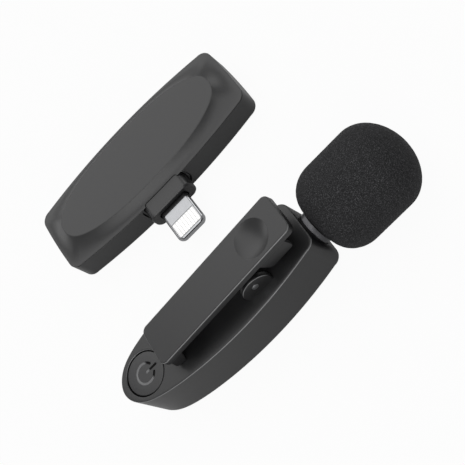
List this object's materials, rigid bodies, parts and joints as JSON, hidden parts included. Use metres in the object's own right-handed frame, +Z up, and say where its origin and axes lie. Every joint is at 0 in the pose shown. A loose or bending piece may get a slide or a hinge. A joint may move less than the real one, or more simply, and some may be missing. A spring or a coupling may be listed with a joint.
{
  "type": "wireless lavalier microphone set",
  "caption": "Clip-on wireless microphone with a foam windscreen, sprung lapel clip and power button, beside its slim phone receiver with a flat plug.",
  "frame": {"origin": "on the table under the middle of the whole set's box, microphone and receiver lying side by side", "axes": "+Z up; +Y along both long bodies towards the windscreen end; +X the way the receiver's plug points"},
  "size_m": [0.0576, 0.0646, 0.0193],
  "materials": {
    "housing_plastic": "satin black moulded plastic",
    "clip_plastic": "satin black moulded plastic",
    "button_plastic": "satin black moulded plastic",
    "receiver_plastic": "satin black moulded plastic",
    "foam": "open-cell black foam",
    "neck_metal": "dark anodised",
    "capsule_can": "drawn can",
    "grille_steel": "perforated sheet",
    "pin_steel": "ground pin",
    "spring_steel": "drawn wire",
    "screw_steel": "zinc plated",
    "shield_tin": "tinned sheet",
    "socket_steel": "nickel plated",
    "battery_pouch": "laminated foil",
    "circuit_board": "solder mask",
    "light_lens": "milky clear",
    "lead_jacket": "smooth",
    "plug_moulding": "smooth",
    "plug_steel": "polished",
    "contact_plating": "plated"
  },
  "bodies": {
    "microphone": {"front_housing": "housing_plastic", "rear_cover": "housing_plastic", "hinge_pin": "pin_steel", "clip_spring": "spring_steel", "main_board": "circuit_board", "board_screws": "screw_steel", "radio_shield": "shield_tin", "power_switch": "shield_tin", "battery": "battery_pouch", "charging_socket": "socket_steel", "status_light": "light_lens", "neck_tube": "neck_metal", "capsule": "capsule_can", "capsule_grille": "grille_steel", "capsule_leads": "lead_jacket"},
    "lapel_clip": {"clip": "clip_plastic"},
    "button": {"power_button": "button_plastic"},
    "windscreen": {"foam_windscreen": "foam"},
    "receiver": {"receiver_top": "receiver_plastic", "receiver_base": "receiver_plastic", "plug_collar": "receiver_plastic", "plug_insulator": "plug_moulding", "plug_shell": "plug_steel", "plug_contacts": "contact_plating", "receiver_board": "circuit_board", "receiver_screws": "screw_steel", "receiver_shield": "shield_tin", "receiver_light": "light_lens"}
  },
  "joints": [
    {"name": "clip_hinge", "type": "hinge", "parent": "microphone", "child": "lapel_clip", "pos_m": [0.02047, -0.00114, 0.01399], "axis": [-1, 0, 0], "range_deg": [0, 10], "stiffness_Nm_per_rad": 0.15, "springref_deg": -28.65, "deforming": ["clip_spring"]},
    {"name": "button_press", "type": "slide", "parent": "microphone", "child": "button", "axis": [0, 0.0607, -0.9982], "range_m": [0, 0.0003], "stiffness_N_per_m": 400, "springref_m": -0.001},
    {"name": "windscreen_pull", "type": "slide", "parent": "microphone", "child": "windscreen", "axis": [0, 0.9982, 0.0607], "range_m": [0, 0.02]},
    {"name": "receiver_lift", "type": "slide", "parent": "microphone", "child": "receiver", "axis": [0, 0, 1], "range_m": [0, 0.03]}
  ]
}
